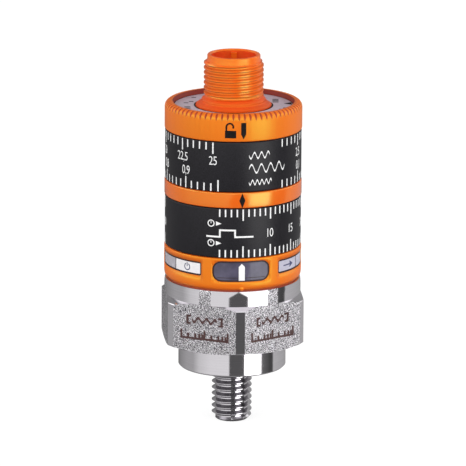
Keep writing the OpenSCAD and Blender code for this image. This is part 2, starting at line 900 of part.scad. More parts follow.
// Insert that holds the four contact pins
module contact_carrier() {
  color("dimgray")
    difference() {
      rotate_extrude()
        polygon([
          [0, carrier_z],
          [carrier_r, carrier_z],
          [carrier_r, carrier_top],
          [plug_bore_r - bond_clearance, carrier_top],
          [plug_bore_r - bond_clearance, plug_floor],
          [0, plug_floor]
        ]);
      for (azimuth = contact_azimuths)
        contact_place(azimuth)
          cylinder(r = contact_d / 2 + bond_clearance, h = plug_top);
    }
}

// Small board that the contact pins are soldered into
module contact_board() {
  color("darkgreen")
    difference() {
      translate([0, 0, contact_board_z])
        cylinder(r = carrier_r, h = disc_board_t);
      for (azimuth = contact_azimuths)
        contact_place(azimuth)
          cylinder(r = contact_d / 2 + bond_clearance, h = plug_top);
    }
}

module contact_place(azimuth) {
  at_azimuth(azimuth)
    translate([contact_circle_r, 0, 0])
      children();
}

// Contact pin with a rounded tip
module contact_pin(azimuth) {
  color("gold")
    contact_place(azimuth)
      rotate_extrude()
        polygon(concat(
          [[0, contact_board_z]],
          [[contact_d / 2, contact_board_z]],
          arc_points(contact_d / 4, contact_tip_z - contact_d / 4, contact_d / 4, 0, quarter_turn, 4),
          [[0, contact_tip_z]]
        ));
}

module contact_pin_1() {
  contact_pin(contact_azimuths[2]);
}

module contact_pin_2() {
  contact_pin(contact_azimuths[1]);
}

module contact_pin_3() {
  contact_pin(contact_azimuths[0]);
}

module contact_pin_4() {
  contact_pin(contact_azimuths[3]);
}

// Metal label disc that lies on the flange round the foot of the plug
module label_disc() {
  color("lightsteelblue")
    band(label_bore_r, flange_r, label_z, label_top);
}

base();
sensor_board();
accelerometer();
board_header();
potting();
base_gasket();
core_sleeve();
lower_drag_ring();
upper_drag_ring();
lower_stop_pin();
upper_stop_pin();
main_board();
processor();
lower_angle_sensor();
upper_angle_sensor();
lamp_board();
lamps();
window_ring();
left_front_window();
left_rear_window();
right_front_window();
right_rear_window();
centre_window();
pointer();
delay_ring();
delay_magnet();
middle_ring();
velocity_ring();
velocity_magnet();
lock_ring();
connector_head();
head_seal();
contact_carrier();
contact_board();
contact_pin_1();
contact_pin_2();
contact_pin_3();
contact_pin_4();
label_disc();
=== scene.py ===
import json
import math
import bmesh
import bpy
from mathutils import Matrix, Vector

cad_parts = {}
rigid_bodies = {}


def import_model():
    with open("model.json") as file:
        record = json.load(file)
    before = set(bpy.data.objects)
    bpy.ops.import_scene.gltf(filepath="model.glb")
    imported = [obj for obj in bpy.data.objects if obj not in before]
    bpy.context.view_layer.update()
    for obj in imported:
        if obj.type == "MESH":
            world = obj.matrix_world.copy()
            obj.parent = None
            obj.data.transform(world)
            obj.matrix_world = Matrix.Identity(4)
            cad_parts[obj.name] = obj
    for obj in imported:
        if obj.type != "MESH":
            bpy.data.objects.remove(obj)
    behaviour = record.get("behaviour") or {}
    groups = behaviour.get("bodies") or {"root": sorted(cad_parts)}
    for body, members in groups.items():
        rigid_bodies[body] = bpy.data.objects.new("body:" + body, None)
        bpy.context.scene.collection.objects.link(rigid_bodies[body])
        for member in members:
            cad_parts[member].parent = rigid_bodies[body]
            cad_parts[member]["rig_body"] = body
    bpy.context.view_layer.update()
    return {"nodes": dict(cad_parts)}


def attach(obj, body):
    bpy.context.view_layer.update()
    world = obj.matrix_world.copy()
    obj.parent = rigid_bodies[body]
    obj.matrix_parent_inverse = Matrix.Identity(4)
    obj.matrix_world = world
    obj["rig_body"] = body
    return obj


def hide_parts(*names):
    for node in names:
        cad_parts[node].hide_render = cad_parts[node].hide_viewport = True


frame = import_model()
MM = 0.001


# Base: one bar of stainless steel, turned to the stud, the seat collar and the upper
# collar, with the six flats milled afterwards, so that they also graze the upper collar.
STUD_END_Z = -11.2
STUD_ROOT_R = 3.24
STUD_CREST_R = 3.99
STUD_PITCH = 1.25
STUD_CREST = 0.1
STUD_ROOT = 0.2
STUD_CORE_R = 0.02
STUD_OVERLAP = 0.3
STUD_POINT_R = 3.1
STUD_POINT_SLOPE = 1.05
STUD_TIP = 0.7
SEAT_R = 10.7
SEAT_CHAMFER = 0.3
HEX_Z = 5.3
COLLAR_Z = 15.1
BASE_TOP = 18.15
COLLAR_R = 13.56
COLLAR_ROUND = 5
COLLAR_TURN = 14
HEX_CORNER_R = 15.1
HEX_FLAT_R = 13.5
HEX_EDGE = 0.12
HEX_EDGE_Z = 0.52
HEX_CHAMFER_Z = 0.66
HEX_TURN = math.radians(6.24)
SOCKET_R = 10.2
SOCKET_Z = 12.55
CAVITY_R = 9
CAVITY_Z = 6.5
PATCH_HALF = 1.2


def azimuth_vector(azimuth):
    """Unit vector that points outwards at an azimuth, counted from the front towards +X."""
    return Vector((math.sin(azimuth), -math.cos(azimuth), 0))


def turned(profile, steps=192):
    """Closed solid of revolution of a profile of (radius, height) pairs in millimetres."""
    bm = bmesh.new()
    verts = [bm.verts.new((r * MM, 0, z * MM)) for r, z in profile]
    edges = [bm.edges.new((a, b)) for a, b in zip(verts, verts[1:])]
    if profile[0][0] > 0 or profile[-1][0] > 0:
        edges.append(bm.edges.new((verts[-1], verts[0])))
    bmesh.ops.spin(
        bm, geom=verts + edges, cent=(0, 0, 0), axis=(0, 0, 1), angle=math.tau,
        steps=steps, use_merge=True,
    )
    bmesh.ops.remove_doubles(bm, verts=bm.verts, dist=1e-6)
    bmesh.ops.recalc_face_normals(bm, faces=bm.faces)
    return bm


def screw_thread(root_r, crest_r, pitch, crest, root, z_low, z_high, inner_r, limit, steps=72):
    """Closed ring of screw thread whose radius stays under limit(height), in millimetres."""
    bm = bmesh.new()
    flank = (pitch - crest - root) / 2
    rows = [
        (root_r, 0), (root_r, root), (crest_r, root + flank),
        (crest_r, root + flank + crest), (root_r, pitch),
    ]
    verts = [bm.verts.new((r * MM, 0, (z + z_low - 2 * pitch) * MM)) for r, z in rows]
    edges = [bm.edges.new((a, b)) for a, b in zip(verts, verts[1:])]
    turns = math.ceil((z_high - z_low) / pitch) + 3
    bmesh.ops.spin(
        bm, geom=verts + edges, cent=(0, 0, 0), axis=(0, 0, 1), angle=math.tau * turns,
        dvec=(0, 0, pitch * MM / steps), steps=steps * turns,
    )
    bmesh.ops.remove_doubles(bm, verts=bm.verts, dist=2e-6)
    for z, side in ((z_low, "clear_inner"), (z_high, "clear_outer")):
        bmesh.ops.bisect_plane(
            bm, geom=bm.verts[:] + bm.edges[:] + bm.faces[:], plane_co=(0, 0, z * MM),
            plane_no=(0, 0, 1), **{side: True},
        )
    for v in bm.verts:
        radius = math.hypot(v.co.x, v.co.y)
        allowed = limit(v.co.z / MM) * MM
        if radius > allowed:
            v.co.x *= allowed / radius
            v.co.y *= allowed / radius
    rims = [e for e in bm.edges if e.is_boundary]
    inner = bmesh.ops.extrude_edge_only(bm, edges=rims)["geom"]
    for v in inner:
        if isinstance(v, bmesh.types.BMVert):
            radius = math.hypot(v.co.x, v.co.y)
            v.co.x *= inner_r * MM / radius
            v.co.y *= inner_r * MM / radius
    bmesh.ops.bridge_loops(bm, edges=[e for e in bm.edges if e.is_boundary])
    bmesh.ops.recalc_face_normals(bm, faces=bm.faces)
    return bm


def add_mesh(name, bm, materials, sharp=35):
    """Object made from a bmesh, shaded smooth but for edges sharper than an angle."""
    mesh = bpy.data.meshes.new(name)
    bm.to_mesh(mesh)
    bm.free()
    mesh.shade_smooth()
    mesh.set_sharp_from_angle(angle=math.radians(sharp))
    obj = bpy.data.objects.new(name, mesh)
    bpy.context.scene.collection.objects.link(obj)
    for material in materials:
        mesh.materials.append(material)
    return obj


def join_bmesh(bm, other):
    """Adds the pieces of another bmesh to bm."""
    mesh = bpy.data.meshes.new("joined")
    other.to_mesh(mesh)
    other.free()
    bm.from_mesh(mesh)
    bpy.data.meshes.remove(mesh)


def new_material(name):
    """Material with a Principled shader, and its node tree and shader."""
    material = bpy.data.materials.new(name)
    material.use_nodes = True
    tree = material.node_tree
    return material, tree, tree.nodes["Principled BSDF"]


def add_node(tree, kind, **inputs):
    """Node of a kind with values on its sockets, by socket name with underscores."""
    node = tree.nodes.new(kind)
    for name, value in inputs.items():
        node.inputs[name.replace("_", " ")].default_value = value
    return node


def grain_group():
    """Node group in which one noise spreads two colours and two roughnesses over a surface
    and gives the height of its grain."""
    group = bpy.data.node_groups.new("surface grain", "ShaderNodeTree")
    for name, kind in (
        ("Scale", "NodeSocketFloat"), ("Detail", "NodeSocketFloat"), ("Stretch", "NodeSocketVector"),
        ("Low Edge", "NodeSocketFloat"), ("High Edge", "NodeSocketFloat"),
        ("Low Colour", "NodeSocketColor"), ("High Colour", "NodeSocketColor"),
        ("Low Roughness", "NodeSocketFloat"), ("High Roughness", "NodeSocketFloat"),
    ):
        group.interface.new_socket(name=name, in_out="INPUT", socket_type=kind)
    for name, kind in (
        ("Colour", "NodeSocketColor"), ("Roughness", "NodeSocketFloat"),
        ("Height", "NodeSocketFloat"),
    ):
        group.interface.new_socket(name=name, in_out="OUTPUT", socket_type=kind)
    given = group.nodes.new("NodeGroupInput").outputs
    result = group.nodes.new("NodeGroupOutput").inputs
    place = group.nodes.new("ShaderNodeTexCoord")
    mapping = group.nodes.new("ShaderNodeMapping")
    texture = group.nodes.new("ShaderNodeTexNoise")
    spread = group.nodes.new("ShaderNodeMapRange")
    tone = group.nodes.new("ShaderNodeMix")
    tone.data_type = "RGBA"
    rough = group.nodes.new("ShaderNodeMix")
    for source, target in (
        (place.outputs["Object"], mapping.inputs["Vector"]),
        (given["Stretch"], mapping.inputs["Scale"]),
        (mapping.outputs["Vector"], texture.inputs["Vector"]),
        (given["Scale"], texture.inputs["Scale"]), (given["Detail"], texture.inputs["Detail"]),
        (texture.outputs["Fac"], spread.inputs["Value"]),
        (given["Low Edge"], spread.inputs["From Min"]),
        (given["High Edge"], spread.inputs["From Max"]),
        (spread.outputs["Result"], tone.inputs["Factor"]),
        (given["Low Colour"], tone.inputs["A"]), (given["High Colour"], tone.inputs["B"]),
        (spread.outputs["Result"], rough.inputs["Factor"]),
        (given["Low Roughness"], rough.inputs["A"]),
        (given["High Roughness"], rough.inputs["B"]),
        (tone.outputs["Result"], result["Colour"]), (rough.outputs["Result"], result["Roughness"]),
        (texture.outputs["Fac"], result["Height"]),
    ):
        group.links.new(source, target)
    return group


surface_grain = grain_group()


def place_grain(tree, scale, detail, tones=None, rough=None, stretch=(1, 1, 1), edges=(0.3, 0.7)):
    """Grain group in a material, with its own noise, and the pairs that it puts to use."""
    node = tree.nodes.new("ShaderNodeGroup")
    node.node_tree = surface_grain
    shader = tree.nodes["Principled BSDF"].inputs
    for name, value in (
        ("Scale", scale), ("Detail", detail), ("Stretch", stretch),
        ("Low Edge", edges[0]), ("High Edge", edges[1]),
    ):
        node.inputs[name].default_value = value
    if tones:
        node.inputs["Low Colour"].default_value = tones[0]
        node.inputs["High Colour"].default_value = tones[1]
        tree.links.new(node.outputs["Colour"], shader["Base Color"])
    if rough:
        node.inputs["Low Roughness"].default_value = rough[0]
        node.inputs["High Roughness"].default_value = rough[1]
        tree.links.new(node.outputs["Roughness"], shader["Roughness"])
    return node.outputs["Height"]


def ramp(tree, factor, stops):
    """Colour ramp of (position, colour) stops that reads a socket."""
    node = tree.nodes.new("ShaderNodeValToRGB")
    elements = node.color_ramp.elements
    while len(elements) < len(stops):
        elements.new(0.5)
    for element, (position, colour) in zip(elements, stops):
        element.position = position
        element.color = colour
    tree.links.new(factor, node.inputs["Fac"])
    return node


def add_bump(tree, height, depth):
    """Bump of a depth in metres from the height of a grain."""
    bump = add_node(tree, "ShaderNodeBump", Strength=1, Distance=depth)
    tree.links.new(height, bump.inputs["Height"])
    tree.links.new(bump.outputs["Normal"], tree.nodes["Principled BSDF"].inputs["Normal"])


def plain_finish(
    name, low_colour, high_colour, scale, rough, depth, stretch=(1, 1, 1), metallic=0.0,
):
    """Finish whose colour, roughness and bump all follow one noise."""
    material, tree, shader = new_material(name)
    tones = (low_colour, high_colour)
    add_bump(tree, place_grain(tree, scale, 4, tones, rough, stretch), depth)
    shader.inputs["Metallic"].default_value = metallic
    return material


turned_steel = plain_finish(
    "turned steel", (0.78, 0.755, 0.79, 1), (0.84, 0.815, 0.85, 1), 900, (0.05, 0.1), 1e-6,
    stretch=(0.08, 0.08, 9.0), metallic=1.0,
)
milled_steel, milled_tree, milled_shader = new_material("milled steel")
milled_grain = place_grain(milled_tree, 6600, 1, rough=(0.38, 0.48))
milled_tone = ramp(milled_tree, milled_grain, [
    (0.42, (0.04, 0.036, 0.045, 1)), (0.505, (0.46, 0.44, 0.47, 1)), (0.58, (0.98, 0.96, 0.99, 1)),
])
milled_tree.links.new(milled_tone.outputs["Color"], milled_shader.inputs["Base Color"])
milled_shader.inputs["Metallic"].default_value = 1.0
add_bump(milled_tree, milled_grain, 3e-5)

collar_arc = []
for i in range(7):
    turn = math.radians(COLLAR_TURN * i / 6)
    collar_arc.append((
        COLLAR_R - COLLAR_ROUND * (1 - math.cos(turn)),
        BASE_TOP - COLLAR_ROUND * (math.sin(math.radians(COLLAR_TURN)) - math.sin(turn)),
    ))
base_bm = turned([
    (0, 0), (SEAT_R - SEAT_CHAMFER, 0), (SEAT_R, SEAT_CHAMFER), (SEAT_R, HEX_Z),
    (COLLAR_R, HEX_Z), (HEX_CORNER_R - HEX_EDGE, HEX_Z + HEX_EDGE_Z),
    (HEX_CORNER_R, HEX_Z + HEX_CHAMFER_Z), (HEX_CORNER_R, COLLAR_Z - HEX_CHAMFER_Z),
    (HEX_CORNER_R - HEX_EDGE, COLLAR_Z - HEX_EDGE_Z), (COLLAR_R, COLLAR_Z), *collar_arc,
    (SOCKET_R, BASE_TOP), (SOCKET_R, SOCKET_Z), (CAVITY_R, SOCKET_Z), (CAVITY_R, CAVITY_Z),
    (0, CAVITY_Z),
], steps=240)
for side in range(6):
    normal = azimuth_vector(HEX_TURN + math.radians(30 + 60 * side))
    cut = bmesh.ops.bisect_plane(
        base_bm, geom=base_bm.verts[:] + base_bm.edges[:] + base_bm.faces[:],
        plane_co=normal * HEX_FLAT_R * MM, plane_no=normal, clear_outer=True,
    )
    rim = [e for e in cut["geom_cut"] if isinstance(e, bmesh.types.BMEdge)]
    for face in bmesh.ops.holes_fill(base_bm, edges=rim, sides=0)["faces"]:
        face.material_index = 1
    for face in base_bm.faces:
        middle = face.calc_center_median() / MM
        outward = middle.x * normal.x + middle.y * normal.y
        across = abs(middle.x * normal.y - middle.y * normal.x)
        if outward > HEX_FLAT_R - 0.5 and across < PATCH_HALF and middle.z > COLLAR_Z:
            face.material_index = 1


def stud_limit(z):
    """Radius that the chamfer at the end of the stud leaves."""
    return min(STUD_CREST_R, STUD_POINT_R + (z - STUD_END_Z) * STUD_POINT_SLOPE)


bmesh.ops.remove_doubles(base_bm, verts=base_bm.verts, dist=2e-5)
join_bmesh(base_bm, screw_thread(
    STUD_ROOT_R, STUD_CREST_R, STUD_PITCH, STUD_CREST, STUD_ROOT, STUD_END_Z, STUD_OVERLAP,
    STUD_CORE_R, stud_limit,
))
bmesh.ops.recalc_face_normals(base_bm, faces=base_bm.faces)
# Painted shade: a darker copy of the steel stands in for the shade on the downward thread flanks of
# the stud and for less light at its tip.
painted_shade_steel = plain_finish(
    "painted shade steel", (0.16, 0.15, 0.17, 1), (0.26, 0.25, 0.27, 1), 900, (0.25, 0.35), 1e-6,
    metallic=1.0,
)
base = add_mesh("steel_base", base_bm, [turned_steel, milled_steel, painted_shade_steel], sharp=20)
# Painted shade: the downward thread flanks and the tip of the stud take the darker steel.
for face in base.data.polygons:
    reach = math.hypot(face.center.x, face.center.y) / MM
    height = face.center.z / MM
    lower_side = height < 0 and 3 < reach < 4 and face.normal.z < -0.4
    at_tip = height < STUD_END_Z + STUD_TIP and reach > 2
    if lower_side or at_tip:
        face.material_index = 2
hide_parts("base")
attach(base, "housing")


# Inner pieces of the base: round board bonded to the cavity floor, sensing chip and
# header soldered to it, and resin cast over them. The other boards have the same finish.


def srgb(red, green, blue):
    """Linear RGBA of a colour given in 0-255 sRGB."""
    def linear(value):
        value /= 255
        return value / 12.92 if value <= 0.04045 else ((value + 0.055) / 1.055) ** 2.4
    return (linear(red), linear(green), linear(blue), 1)


def coat_node(node, material):
    """Gives a CAD node a material."""
    mesh = frame["nodes"][node].data
    mesh.materials.clear()
    mesh.materials.append(material)


board_green = plain_finish(
    "board", srgb(18, 74, 44), srgb(28, 92, 54), 1500, (0.35, 0.5), 4e-6,
)
chip_black = plain_finish(
    "chip plastic", srgb(28, 28, 30), srgb(38, 38, 40), 4000, (0.5, 0.62), 4e-6,
)
resin_brown = plain_finish(
    "casting resin", srgb(52, 36, 26), srgb(66, 46, 32), 260, (0.2, 0.32), 1e-5,
)
for node in ("sensor_board", "main_board", "lamp_board", "contact_board"):
    coat_node(node, board_green)
for node in (
    "accelerometer", "board_header", "processor", "lower_angle_sensor", "upper_angle_sensor",
):
    coat_node(node, chip_black)
coat_node("potting", resin_brown)


# Core sleeve, seals, stop pins, magnets and lamps: the moulded sleeve carries the rings, the
# pressed pins stop them, and the elastic rings seal them. All of it lies out of sight but for
# the edge of the brown gasket under the window ring.
core_grey = plain_finish(
    "core plastic", srgb(58, 58, 60), srgb(70, 70, 72), 1800, (0.45, 0.6), 6e-6,
)
seal_black = plain_finish(
    "elastomer", srgb(24, 24, 24), srgb(34, 34, 34), 2600, (0.6, 0.75), 6e-6,
)
pin_steel = plain_finish(
    "pin steel", srgb(150, 150, 152), srgb(176, 176, 178), 1600, (0.25, 0.38), 2e-6,
    metallic=1.0,
)
magnet_metal = plain_finish(
    "plated magnet", srgb(160, 158, 152), srgb(184, 182, 176), 1900, (0.2, 0.34), 2e-6,
    metallic=1.0,
)
lamp_resin = plain_finish(
    "lamp", srgb(226, 222, 180), srgb(240, 236, 200), 900, (0.2, 0.3), 2e-6,
)
coat_node("core_sleeve", core_grey)
gasket_brown = plain_finish(
    "gasket", srgb(150, 60, 28), srgb(166, 70, 34), 2600, (0.55, 0.7), 6e-6,
)
coat_node("base_gasket", gasket_brown)
for node in ("lower_drag_ring", "upper_drag_ring", "head_seal"):
    coat_node(node, seal_black)
for node in ("lower_stop_pin", "upper_stop_pin"):
    coat_node(node, pin_steel)
for node in ("delay_magnet", "velocity_magnet"):
    coat_node(node, magnet_metal)
coat_node("lamps", lamp_resin)


# Window ring: moulded orange plastic. Its pockets hold pale lamp windows, and a smoked
# window whose slot holds a white pointer.


def finish_node(node, material, sharp=35):
    """Copy of a CAD node with its vertices merged and its shading smoothed, in its place."""
    source = frame["nodes"][node]
    bm = bmesh.new()
    bm.from_mesh(source.data)
    bmesh.ops.remove_doubles(bm, verts=bm.verts, dist=1e-7)
    for face in bm.faces:
        face.material_index = 0
    copy = add_mesh(node + "_piece", bm, [material], sharp)
    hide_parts(node)
    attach(copy, source["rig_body"])
    return copy


def orange_finish(name, low, high, coat, red, green):
    """Orange moulded plastic whose roughness varies between two values."""
    material, tree, shader = new_material(name)
    tones = ((red, green, 0.006, 1), (red * 1.05, green * 1.08, 0.009, 1))
    place_grain(tree, 120, 4, tones=tones)
    add_bump(tree, place_grain(tree, 4200, 3, rough=(low, high)), 3e-6)
    shader.inputs["IOR"].default_value = 1.65
    shader.inputs["Specular IOR Level"].default_value = 1.0
    shader.inputs["Specular Tint"].default_value = (0.3, 1, 0.12, 1)
    shader.inputs["Coat Weight"].default_value = coat
    shader.inputs["Coat Roughness"].default_value = 0.12
    return material


def set_specular(material, level):
    """Weaker mirror than the shader's own, for inks and for matt plastic."""
    shader = material.node_tree.nodes["Principled BSDF"]
    shader.inputs["Specular IOR Level"].default_value = level


orange = orange_finish("orange plastic", 0.34, 0.42, 0, 0.8, 0.118)
glossy_orange = orange_finish("glossy orange plastic", 0.18, 0.24, 0.5, 0.8, 0.11)
bright_window = plain_finish(
    "bright window plastic", srgb(229, 226, 229), srgb(239, 237, 239), 700, (0.2, 0.3), 3e-6,
)
pale_window = plain_finish(
    "pale window plastic", srgb(165, 161, 169), srgb(179, 175, 183), 700, (0.2, 0.3), 3e-6,
)
tinted_window = plain_finish(
    "tinted window plastic", srgb(178, 176, 192), srgb(190, 188, 204), 700, (0.2, 0.3), 3e-6,
)
smoked_window = plain_finish(
    "smoked window plastic", srgb(62, 60, 76), srgb(90, 86, 106), 300, (0.12, 0.18), 2e-6,
)
set_specular(smoked_window, 0.36)
white_plastic = plain_finish(
    "white plastic", srgb(236, 236, 236), srgb(244, 244, 244), 1800, (0.35, 0.45), 3e-6,
)
finish_node("window_ring", orange)
finish_node("left_front_window", bright_window)
finish_node("left_rear_window", pale_window)
for node in ("right_front_window", "right_rear_window"):
    finish_node(node, tinted_window)
finish_node("centre_window", smoked_window)
finish_node("pointer", white_plastic)


# Setting rings and the ring between them: the two black rings turn, and the orange one
# is fixed. Scales are printed in white on the black rings.
black, black_tree, black_shader = new_material("black plastic")
black_grain = place_grain(
    black_tree, 5200, 3, (srgb(12, 11, 15), srgb(30, 28, 34)), (0.36, 0.5), edges=(0.34, 0.66),
)
add_bump(black_tree, black_grain, 8e-6)
set_specular(black, 0.3)
white_ink = plain_finish(
    "white ink", srgb(232, 232, 232), srgb(242, 242, 242), 3000, (0.5, 0.6), 2e-6,
)
black_ink = plain_finish(
    "black ink", srgb(10, 8, 8), srgb(22, 18, 18), 3000, (0.5, 0.6), 2e-6,
)
set_specular(black_ink, 0.15)
finish_node("delay_ring", black)
finish_node("velocity_ring", black)
finish_node("middle_ring", glossy_orange)
INDEX_AZIMUTH = 7.8
DIAL_R = 13.5
RING_R = 13.6
INK_SUNK = 0.02
INK_PROUD = 0.012
DIGIT_NARROWING = 0.76
DIGIT_THINNING = 0.012


def text_shape(words, height):
    """Flat bmesh of printed words, centred, with narrow digits of a height in millimetres."""
    curve = bpy.data.curves.new("words", "FONT")
    curve.body = words
    curve.size = height * MM / 0.7
    curve.space_character = 0.92
    curve.resolution_u = 4
    curve.offset = -DIGIT_THINNING * MM
    holder = bpy.data.objects.new("words", curve)
    bpy.context.scene.collection.objects.link(holder)
    mesh = bpy.data.meshes.new_from_object(holder)
    bm = bmesh.new()
    bm.from_mesh(mesh)
    bpy.data.objects.remove(holder)
    bpy.data.meshes.remove(mesh)
    bpy.data.curves.remove(curve)
    bmesh.ops.remove_doubles(bm, verts=bm.verts, dist=1e-7)
    bmesh.ops.scale(bm, verts=bm.verts, vec=(DIGIT_NARROWING, 1, 1))
    xs = [v.co.x for v in bm.verts]
    ys = [v.co.y for v in bm.verts]
    middle = Vector(((min(xs) + max(xs)) / 2, (min(ys) + max(ys)) / 2, 0))
    bmesh.ops.translate(bm, verts=bm.verts, vec=-middle)
    return bm


def polygon_shape(points):
    """Flat bmesh of one polygon, from points in millimetres."""
    bm = bmesh.new()
    bm.faces.new([bm.verts.new((x * MM, y * MM, 0)) for x, y in points])
    return bm


def box_shape(width, height):
    """Flat bmesh of a rectangle centred on the origin, in millimetres."""
    w, h = width / 2, height / 2
    return polygon_shape([(-w, -h), (w, -h), (w, h), (-w, h)])


def arc_shape(radius, width, start, end, steps=32):
    """Flat bmesh of a circular stroke between two angles in degrees, in millimetres."""
    bm = bmesh.new()
    inner = bm.verts.new(((radius - width / 2) * MM, 0, 0))
    outer = bm.verts.new(((radius + width / 2) * MM, 0, 0))
    edge = bm.edges.new((inner, outer))
    bmesh.ops.rotate(bm, verts=bm.verts, matrix=Matrix.Rotation(math.radians(start), 3, "Z"))
    full = abs(end - start) >= 360
    bmesh.ops.spin(
        bm, geom=[inner, outer, edge], cent=(0, 0, 0), axis=(0, 0, 1),
        angle=math.radians(end - start), steps=steps, use_merge=full,
    )
    return bm


def wave_shape(length, height, width, waves):
    """Flat bmesh of a wavy stroke, in millimetres."""
    bm = bmesh.new()
    bmesh.ops.create_grid(bm, x_segments=16 * waves, y_segments=1, size=0.5)
    for v in bm.verts:
        swing = math.sin(v.co.x * math.tau * waves) * height / 2
        v.co.y = (v.co.y * width + swing) * MM
        v.co.x *= length * MM
    return bm


def printed(bm, shape, azimuth, z, radius, shift_x=0.0, shift_y=0.0):
    """Adds a flat shape to bm as a thin print bent round a ring at an azimuth in degrees."""
    step = 0.4 * MM
    bmesh.ops.translate(shape, verts=shape.verts, vec=(shift_x * MM, shift_y * MM, 0))
    xs = [v.co.x for v in shape.verts]
    cuts = int((max(xs) - min(xs)) / step)
    for i in range(cuts):
        bmesh.ops.bisect_plane(
            shape, geom=shape.verts[:] + shape.edges[:] + shape.faces[:],
            plane_co=(min(xs) + (i + 1) * step, 0, 0), plane_no=(1, 0, 0),
        )
    bmesh.ops.recalc_face_normals(shape, faces=shape.faces)
    raised = bmesh.ops.extrude_face_region(shape, geom=shape.faces[:], use_keep_orig=True)["geom"]
    top = [v for v in raised if isinstance(v, bmesh.types.BMVert)]
    bmesh.ops.translate(shape, verts=top, vec=(0, 0, (INK_SUNK + INK_PROUD) * MM))
    for v in shape.verts:
        turn = math.radians(azimuth) + v.co.x / (radius * MM)
        out = (radius - INK_SUNK) * MM + v.co.z
        height = z * MM + v.co.y
        v.co = azimuth_vector(turn) * out + Vector((0, 0, height))
    bmesh.ops.recalc_face_normals(shape, faces=shape.faces)
    join_bmesh(bm, shape)


DELAY_LOW = 25.03
DELAY_TOP = 34.98
MIDDLE_Z = 36.64
VELOCITY_LOW = 38.31
VELOCITY_TOP = 48.31
SHORT_TICK = 1.5
LONG_TICK = 2.25
TICK_WIDTH = 0.28
TICK_INSET = 0.15
DIGIT_HEIGHT = 1.75


def tick_pair(bm, low_azimuth, top_azimuth, low, top, long_tick):
    """Adds one scale line at the lower and one at the upper edge of a ring."""
    length = LONG_TICK if long_tick else SHORT_TICK
    inset = TICK_INSET + length / 2
    printed(bm, box_shape(TICK_WIDTH, length), top_azimuth, top - inset, DIAL_R)
    printed(bm, box_shape(TICK_WIDTH, length), low_azimuth, low + inset, DIAL_R)


UPPER_START = 39.1
UPPER_STEP = 6.075
LOWER_START = 39.3
LOWER_STEP = 6.162
UPPER_DIGIT_Z = 44.55
LOWER_DIGIT_Z = 41.9
WAVE_AZIMUTH = 13.3
WAVE_STROKE = 0.36
velocity_bm = bmesh.new()
for i in range(1, 51):
    tick_pair(
        velocity_bm, LOWER_START + LOWER_STEP * i, UPPER_START + UPPER_STEP * i,
        VELOCITY_LOW, VELOCITY_TOP, i % 5 == 0,
    )
for i in range(1, 11):
    value = f"{i * 2.5:g}".replace(".", ",")
    azimuth = UPPER_START + 5 * UPPER_STEP * i
    printed(velocity_bm, text_shape(value, DIGIT_HEIGHT), azimuth, UPPER_DIGIT_Z, DIAL_R)
for i in range(1, 10):
    azimuth = LOWER_START + 5 * LOWER_STEP * i
    printed(velocity_bm, text_shape(f"0,{i}", DIGIT_HEIGHT), azimuth, LOWER_DIGIT_Z, DIAL_R)
for z, length, height, waves in ((45.6, 4.4, 1.2, 3), (42.95, 8.2, 1.7, 4), (40.2, 4.9, 0.9, 5)):
    wave = wave_shape(length, height, WAVE_STROKE, waves)
    printed(velocity_bm, wave, WAVE_AZIMUTH, z, DIAL_R, shift_x=length / 2)
velocity_scale = add_mesh("velocity_scale", velocity_bm, [white_ink])
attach(velocity_scale, "velocity_dial")

DELAY_START = -15.9
DELAY_STEP = 4.91
DELAY_DIGIT_Z = 29.8
DELAY_SIGN_AZIMUTH = -21.8
STEP_LINE_Z = 29.3
STEP_LINE_STROKE = 0.34
STEP_LINE = [(0, 0), (2.6, 0), (2.6, 1.35), (5.6, 1.35), (5.6, 0), (9.1, 0)]
delay_bm = bmesh.new()
for i in range(1, 61):
    azimuth = DELAY_START + DELAY_STEP * i
    tick_pair(delay_bm, azimuth, azimuth, DELAY_LOW, DELAY_TOP, i % 5 == 0)
for i in range(2, 13):
    azimuth = DELAY_START + 5 * DELAY_STEP * i
    printed(delay_bm, text_shape(str(5 * i), DIGIT_HEIGHT), azimuth, DELAY_DIGIT_Z, DIAL_R)
for z in (31.95, 28.0):  # a clock and an arrow above and below the step line
    printed(delay_bm, arc_shape(0.62, 0.2, 0, 360), DELAY_SIGN_AZIMUTH, z, DIAL_R, shift_x=0.8)
    hand = box_shape(0.16, 0.42)
    printed(delay_bm, hand, DELAY_SIGN_AZIMUTH, z, DIAL_R, shift_x=0.8, shift_y=0.2)
    arrow = polygon_shape([(1.8, 0.45), (1.8, -0.45), (2.9, 0)])
    printed(delay_bm, arrow, DELAY_SIGN_AZIMUTH, z, DIAL_R)
for start, end in zip(STEP_LINE, STEP_LINE[1:]):
    stroke = box_shape(
        abs(end[0] - start[0]) + STEP_LINE_STROKE, abs(end[1] - start[1]) + STEP_LINE_STROKE,
    )
    printed(
        delay_bm, stroke, DELAY_SIGN_AZIMUTH, STEP_LINE_Z, DIAL_R,
        shift_x=(start[0] + end[0]) / 2, shift_y=(start[1] + end[1]) / 2,
    )
delay_scale = add_mesh("delay_scale", delay_bm, [white_ink])
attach(delay_scale, "delay_dial")

index_bm = bmesh.new()
printed(
    index_bm, polygon_shape([(0, -1.5), (0.6, 0), (0, 1.5), (-0.6, 0)]), INDEX_AZIMUTH,
    MIDDLE_Z, RING_R,
)
index_mark = add_mesh("index_mark", index_bm, [black_ink])
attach(index_mark, "housing")
PIP_R = 0.5
PIP_AWAY = 13.2
PIP_Z = 18.85
pip_bm = bmesh.new()
bmesh.ops.create_icosphere(pip_bm, subdivisions=4, radius=PIP_R * MM)
bmesh.ops.scale(pip_bm, verts=pip_bm.verts, vec=(1.1, 1, 1))
pip_place = azimuth_vector(math.radians(INDEX_AZIMUTH)) * PIP_AWAY * MM
pip_place.z = PIP_Z * MM
bmesh.ops.translate(pip_bm, verts=pip_bm.verts, vec=pip_place)
index_pip = add_mesh("index_pip", pip_bm, [orange])
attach(index_pip, "housing")
